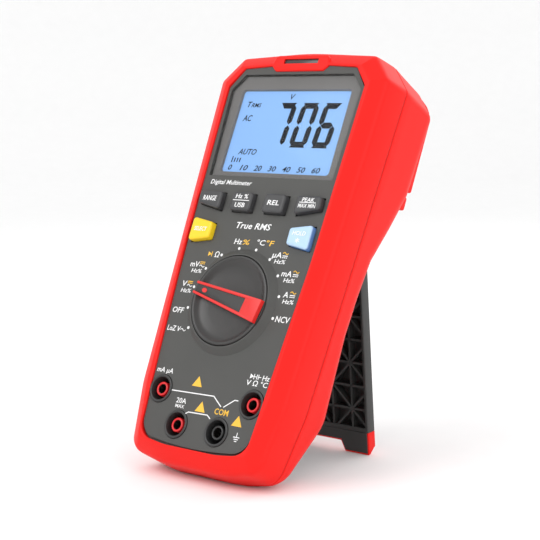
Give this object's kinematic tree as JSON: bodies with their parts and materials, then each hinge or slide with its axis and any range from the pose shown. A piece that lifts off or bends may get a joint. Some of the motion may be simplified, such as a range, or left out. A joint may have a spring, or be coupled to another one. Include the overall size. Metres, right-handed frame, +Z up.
{
  "type": "digital multimeter",
  "caption": "Handheld digital multimeter in a rubber boot, leaning on its open tilt stand, with a rotary selector, push keys, a display and safety sockets.",
  "frame": {"origin": "bottom centre of the whole meter's box, on the table that it stands on, stand open", "axes": "+Z up; -Y towards the user, the way the leaning face looks; +X to the user's right"},
  "size_m": [0.0924, 0.1134, 0.1717],
  "materials": {
    "grey_case": "fine spark texture, moulded",
    "red_rubber": "satin overmoulded rubber",
    "clear_lens": "polished clear acrylic",
    "dark_window": "gloss",
    "lcd_glass": "polished",
    "backlight": "diffusing",
    "white_plastic": "moulded",
    "silicone": "matte",
    "circuit_board": "solder mask",
    "chip_black": "moulded",
    "fuse_ceramic": "ceramic tube with metal caps",
    "sprung_metal": "plated",
    "battery_wrap": "printed wrap, plain",
    "screw_steel": "zinc plated",
    "dark_plastic": "fine texture",
    "pointer_red": "satin",
    "dark_key": "satin",
    "amber_key": "satin",
    "blue_key": "satin",
    "red_jack": "satin",
    "black_jack": "satin"
  },
  "bodies": {
    "housing": {"amp_jack_body": "red_jack", "amp_jack_contact": "sprung_metal", "battery": "battery_wrap", "battery_cover": "grey_case", "battery_cover_screws": "screw_steel", "battery_snap": "chip_black", "board_chips": "chip_black", "board_screws": "screw_steel", "buzzer": "chip_black", "case_screws": "screw_steel", "common_jack_body": "black_jack", "common_jack_contact": "sprung_metal", "contact_strip": "silicone", "current_shunt": "sprung_metal", "detent_ring": "white_plastic", "display_lens": "clear_lens", "front_boot": "red_rubber", "front_case": "grey_case", "fuse_clips": "sprung_metal", "fuse_large": "fuse_ceramic", "fuse_small": "fuse_ceramic", "key_switches": "chip_black", "keypad_mat": "silicone", "lcd_backlight": "backlight", "lcd_glass": "lcd_glass", "lcd_holder": "white_plastic", "main_board": "circuit_board", "milliamp_jack_body": "red_jack", "milliamp_jack_contact": "sprung_metal", "rear_boot": "red_rubber", "rear_case": "grey_case", "sensor_window": "dark_window", "volt_jack_body": "red_jack", "volt_jack_contact": "sprung_metal"},
    "selector": {"selector_knob": "dark_plastic", "selector_pointer": "pointer_red", "selector_rotor": "white_plastic", "rotor_contacts": "sprung_metal", "detent_balls": "screw_steel"},
    "stand": {"tilt_stand": "dark_plastic", "stand_end_cap": "red_rubber"},
    "range_button": {"range_key": "dark_key"},
    "mode_button": {"mode_key": "dark_key"},
    "relative_button": {"relative_key": "dark_key"},
    "peak_button": {"peak_key": "dark_key"},
    "select_button": {"select_key": "amber_key"},
    "hold_button": {"hold_key": "blue_key"}
  },
  "joints": [
    {"name": "stand_hinge", "type": "hinge", "parent": "housing", "child": "stand", "pos_m": [0, 0.01892, 0.10175], "axis": [-1, 0, 0], "range_deg": [0, 29.8]},
    {"name": "selector_turn", "type": "hinge", "parent": "housing", "child": "selector", "pos_m": [0, -0.02972, 0.07032], "axis": [0, -0.9081, 0.4188], "range_deg": [-180, 45]},
    {"name": "range_press", "type": "slide", "parent": "housing", "child": "range_button", "axis": [0, 0.9081, -0.4188], "range_m": [0, 0.0009], "stiffness_N_per_m": 1200},
    {"name": "mode_press", "type": "slide", "parent": "housing", "child": "mode_button", "axis": [0, 0.9081, -0.4188], "range_m": [0, 0.0009], "stiffness_N_per_m": 1200},
    {"name": "relative_press", "type": "slide", "parent": "housing", "child": "relative_button", "axis": [0, 0.9081, -0.4188], "range_m": [0, 0.0009], "stiffness_N_per_m": 1200},
    {"name": "peak_press", "type": "slide", "parent": "housing", "child": "peak_button", "axis": [0, 0.9081, -0.4188], "range_m": [0, 0.0009], "stiffness_N_per_m": 1200},
    {"name": "select_press", "type": "slide", "parent": "housing", "child": "select_button", "axis": [0, 0.9081, -0.4188], "range_m": [0, 0.0009], "stiffness_N_per_m": 1200},
    {"name": "hold_press", "type": "slide", "parent": "housing", "child": "hold_button", "axis": [0, 0.9081, -0.4188], "range_m": [0, 0.0009], "stiffness_N_per_m": 1200}
  ]
}
